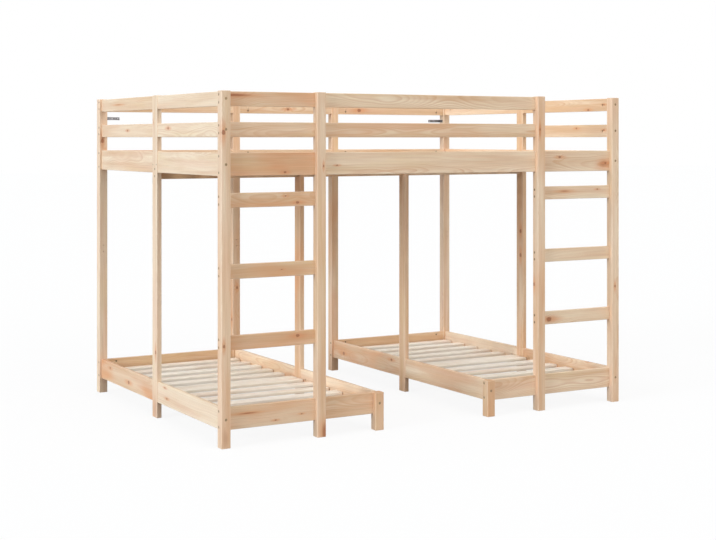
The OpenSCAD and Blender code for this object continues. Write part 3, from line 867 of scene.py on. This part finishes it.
def makeFastenerTree():
    tree, given, out = newGroup("fasteners", "GeometryNodeTree", [
        ("Geometry", "Geometry"), ("Head", "Object"), ("Shank Radius", "Float", 0.004),
        ("Shank Sides", "Int", 12), ("Seed", "Int", 1), ("Material", "Material")], [
        ("Geometry", "Geometry")])
    facing = addNode(tree, "GeometryNodeInputNamedAttribute", {"Name": "facing"}, data_type="FLOAT_VECTOR")
    length = addNode(tree, "GeometryNodeInputNamedAttribute", {"Name": "shank"}, data_type="FLOAT")
    turn = addNode(tree, "FunctionNodeAlignRotationToVector", {"Vector": facing.outputs[0]}, axis="Z")
    head = addNode(tree, "GeometryNodeObjectInfo", {"Object": given["Head"], "As Instance": False})
    heads = layOn(tree, given["Geometry"], head.outputs["Geometry"], turn.outputs[0])
    spin = addNode(tree, "FunctionNodeRandomValue", {"Min": 0.0, "Max": math.pi, "Seed": given["Seed"]},
                   data_type="FLOAT")
    heads = addNode(tree, "GeometryNodeRotateInstances", {
        "Instances": heads, "Rotation": combine(tree, z=spin.outputs[1])})
    # A shank is a cylinder 1 m long below its point, shortened to the length that the point carries
    shank = addNode(tree, "GeometryNodeMeshCylinder", {
        "Vertices": given["Shank Sides"], "Radius": given["Shank Radius"], "Depth": 1.0})
    shank = addNode(tree, "GeometryNodeTransform", {
        "Geometry": shank.outputs["Mesh"], "Translation": (0.0, 0.0, -0.5)})
    shanks = layOn(tree, given["Geometry"], shank.outputs["Geometry"], turn.outputs[0],
                   combine(tree, 1.0, 1.0, length.outputs[0]))
    both = addNode(tree, "GeometryNodeJoinGeometry")
    tree.links.new(heads.outputs["Instances"], both.inputs[0])
    tree.links.new(shanks, both.inputs[0])
    dress(tree, both.outputs["Geometry"], given["Material"], out)
    return tree


def headedParts(node):
    # Each bolt or screw of a node: the middle of its head's face, the way that faces, its length
    source = mergedCopy(node)
    found = []
    for part in looseParts(source):
        low, high = cornersOf(part)
        middle, size = (low + high) / 2, high - low
        along = max(range(3), key=lambda axis: size[axis])
        others = [axis for axis in range(3) if axis != along]
        distance = {vertex: math.hypot(*[vertex.co[axis] - middle[axis] for axis in others])
                    for vertex in part}
        widest = max(distance.values())
        wide = [vertex.co[along] for vertex in part if distance[vertex] > widest * headShare]
        sign = 1 if sum(wide) / len(wide) > middle[along] else -1
        found.append((*endOf(low, high, along, sign), size[along]))
    source.free()
    return found


def nutEnds(node):
    # Both ends of every barrel nut, each with half of the nut's body behind it
    found = []
    for low, high in partBoxes(node):
        size = high - low
        along = max(range(3), key=lambda axis: size[axis])
        found += [(*endOf(low, high, along, sign), size[along] / 2) for sign in (-1, 1)]
    return found


def layFasteners(name, found, head, values, nodes):
    # found is a list of (place, facing, length)
    places, facings, lengths = zip(*found)
    data = growMesh(name, places, fastenerTree, {
        "Head": head, "Shank Radius": values["shank"], "Shank Sides": shankSet["sides"],
        "Seed": shankSet["seed"], "Material": materials["zincPlate"]}, {"facing": facings, "shank": lengths})
    placePiece(name, data, "zincPlate", nodes)
    print(name, "fasteners:", len(found))


fastenerTree = makeFastenerTree()
boltHead = makeBoltHead(boltSet)
screwHead = makeScrewHead(screwSet)
nutEnd = makeNutEnd(nutSet)
layFasteners("crossBolts", headedParts("cross_bolts"), boltHead, boltSet, ["cross_bolts"])
layFasteners("longBolts", headedParts("long_bolts"), boltHead, boltSet, ["long_bolts"])
layFasteners("angleScrews", headedParts("angle_screws"), screwHead, screwSet, ["angle_screws"])
layFasteners("barrelNuts", nutEnds("barrel_nuts"), nutEnd, nutSet, ["barrel_nuts"])

# Two screws at deck height on each side's middle post, as the photo shows, and those of the cleats
midScrews = {"height": 1.537, "apart": 0.056, "proud": 0.0008, "length": 0.03}
cleatScrews = {"spacing": 0.28, "inset": 0.06, "sunk": 0.0004, "length": 0.035}


def midPostScrews(values):
    found = []
    for node, sign in (("post_mid_left", -1), ("post_mid_right", 1)):
        face, facing = endOf(*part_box(node), 0, sign)
        for side in (-1, 1):
            place = Vector((face.x + sign * values["proud"], side * values["apart"] / 2, values["height"]))
            found.append((place, facing, values["length"]))
    return found


def cleatRow(low, high, inside, values):
    # Screws along one cleat, on the side that faces a point inside the bed
    size, middle = high - low, (low + high) / 2
    along = 0 if size.x > size.y else 1
    through = 1 - along
    sign = 1 if inside[through] > middle[through] else -1
    face, facing = endOf(low, high, through, sign)
    face[through] += sign * values["sunk"]
    row = size[along] - 2 * values["inset"]
    count = max(2, round(row / values["spacing"]) + 1)
    found = []
    for index in range(count):
        place = face.copy()
        place[along] = low[along] + values["inset"] + index / (count - 1) * row
        found.append((place, facing, values["length"]))
    return found


def allCleatScrews(values):
    found = []
    for slats, cleats in (("deck_slats", ("deck_cleats_front", "deck_cleats_back")),
                          ("left_bed_slats", ("left_bed_outer_cleats", "left_bed_inner_cleats")),
                          ("right_bed_slats", ("right_bed_outer_cleats", "right_bed_inner_cleats"))):
        inside = sum(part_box(slats), Vector()) / 2
        for node in cleats:
            for low, high in partBoxes(node):
                found += cleatRow(low, high, inside, values)
    return found


layFasteners("woodScrews", midPostScrews(midScrews) + allCleatScrews(cleatScrews), screwHead, screwSet, [])
for prototype in (boltHead, screwHead, nutEnd):
    bpy.data.objects.remove(prototype)


# Steel angles, with their edges broken, and the studs that stay inside the timber

angleSet = {"easing": 0.0004, "segments": 2, "sharp": 50}


def makeAngle(node, values):
    piece = placePiece(camel(node), plainMesh(mergedCopy(node), camel(node)), "angleSteel", [node])
    bevel = piece.modifiers.new("Bevel", "BEVEL")
    bevel.width = values["easing"]
    bevel.segments = values["segments"]
    bevel.limit_method = "ANGLE"
    bevel.angle_limit = math.radians(values["sharp"])


for node in ("wall_angle_left", "wall_angle_right"):
    makeAngle(node, angleSet)
for node in ("cross_studs", "long_studs"):
    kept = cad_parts[node].data.materials
    kept.clear()
    kept.append(materials["zincPlate"])
print("steel made")


# Stage: pale floor, soft light and a level camera whose shift keeps the uprights upright

stageSet = {
    "cameraPlace": (-4.545, -7.966, 1.691), "farthest": 200,
    "cameraTurn": -29.92,  # degrees about the vertical
    "lens": 70.09,  # mm on a 36 mm sensor
    "lift": -0.1826,  # share of the picture's width
    "backdrop": (255, 255, 255), "skyLow": 0.26, "skyHigh": 0.56,
    "floorSize": 60, "floorRough": 0.9, "floorColor": (118, 118, 118),
    "floorSeen": (240, 240, 240), "floorGlow": 0.89,
}
lampSet = {
    # strength, degrees that the lamp looks wide, the way to it, colour
    "key": (2.85, 30, (-0.93, -0.14, 0.25), (234, 244, 255)),
    "front": (1.28, 45, (0.20, -0.89, 0.42), (255, 253, 250)),
    "top": (0.85, 80, (-0.1, -0.2, 0.96), (250, 253, 255)),
}


def makeLamp(name, strength, spread, way, color):
    sun = bpy.data.lights.new(name, "SUN")
    sun.energy = strength
    sun.angle = math.radians(spread)
    sun.color = paint(*color)[:3]
    addObject(name, sun).rotation_euler = Vector(way).to_track_quat("Z", "Y").to_euler()


def backdropShare(tree):
    # 1 for what the camera sees, by itself, in metal or through glass, and 0 for light on the bed
    path = addNode(tree, "ShaderNodeLightPath").outputs
    return calc(tree, "MAXIMUM", path["Is Camera Ray"], calc(
        tree, "MAXIMUM", path["Is Glossy Ray"], path["Is Transmission Ray"]))


def blendShaders(tree, share, first, second, output):
    blend = addNode(tree, "ShaderNodeMixShader", {0: share, 1: first, 2: second})
    feed(tree, tree.nodes[output].inputs["Surface"], blend.outputs[0])


def makeFloor(values):
    # The camera sees a nearly white floor with faint shadows, and the bed is lit by a plain grey one
    mesh = bmesh.new()
    bmesh.ops.create_grid(mesh, x_segments=1, y_segments=1, size=values["floorSize"])
    data = plainMesh(mesh, "floor")
    material = bpy.data.materials.new("paleFloor")
    material.use_nodes = True
    tree = material.node_tree
    shader = tree.nodes["Principled BSDF"]
    shader.inputs["Roughness"].default_value = values["floorRough"]
    shader.inputs["Specular IOR Level"].default_value = 0.0
    seen = backdropShare(tree)
    color = mixColor(tree, seen, paint(*values["floorColor"]), paint(*values["floorSeen"]))
    feed(tree, shader.inputs["Base Color"], color)
    glow = addNode(tree, "ShaderNodeEmission", {"Color": paint(*values["backdrop"]), "Strength": 1.0})
    blendShaders(tree, calc(tree, "MULTIPLY", seen, values["floorGlow"]), shader.outputs["BSDF"],
                 glow.outputs["Emission"], "Material Output")
    data.materials.append(material)
    floor = addObject("floor", data)


def makeSky(values):
    world = bpy.data.worlds.new("studio")
    bpy.context.scene.world = world
    world.use_nodes = True
    tree = world.node_tree
    rise = separate(tree, addNode(tree, "ShaderNodeTexCoord").outputs["Generated"])["Z"]
    light = tree.nodes["Background"]
    light.inputs["Color"].default_value = (1.0, 1.0, 1.0, 1.0)
    feed(tree, light.inputs["Strength"], calc(
        tree, "MULTIPLY_ADD", rise, values["skyHigh"] - values["skyLow"], values["skyLow"]))
    backdrop = addNode(tree, "ShaderNodeBackground", {"Color": paint(*values["backdrop"]), "Strength": 1.0})
    blendShaders(tree, backdropShare(tree), light.outputs["Background"], backdrop.outputs["Background"],
                 "World Output")


def makeCamera(values):
    lens = bpy.data.cameras.new("camera")
    lens.lens = values["lens"]
    lens.shift_y = values["lift"]
    lens.clip_end = values["farthest"]
    camera = addObject("camera", lens)
    camera.location = values["cameraPlace"]
    camera.rotation_euler = (math.radians(90), 0, math.radians(values["cameraTurn"]))
    bpy.context.scene.camera = camera
    bpy.context.scene.view_settings.view_transform = "Standard"


for name, values in lampSet.items():
    makeLamp(name, *values)
makeFloor(stageSet)
makeSky(stageSet)
makeCamera(stageSet)
print("stage made")
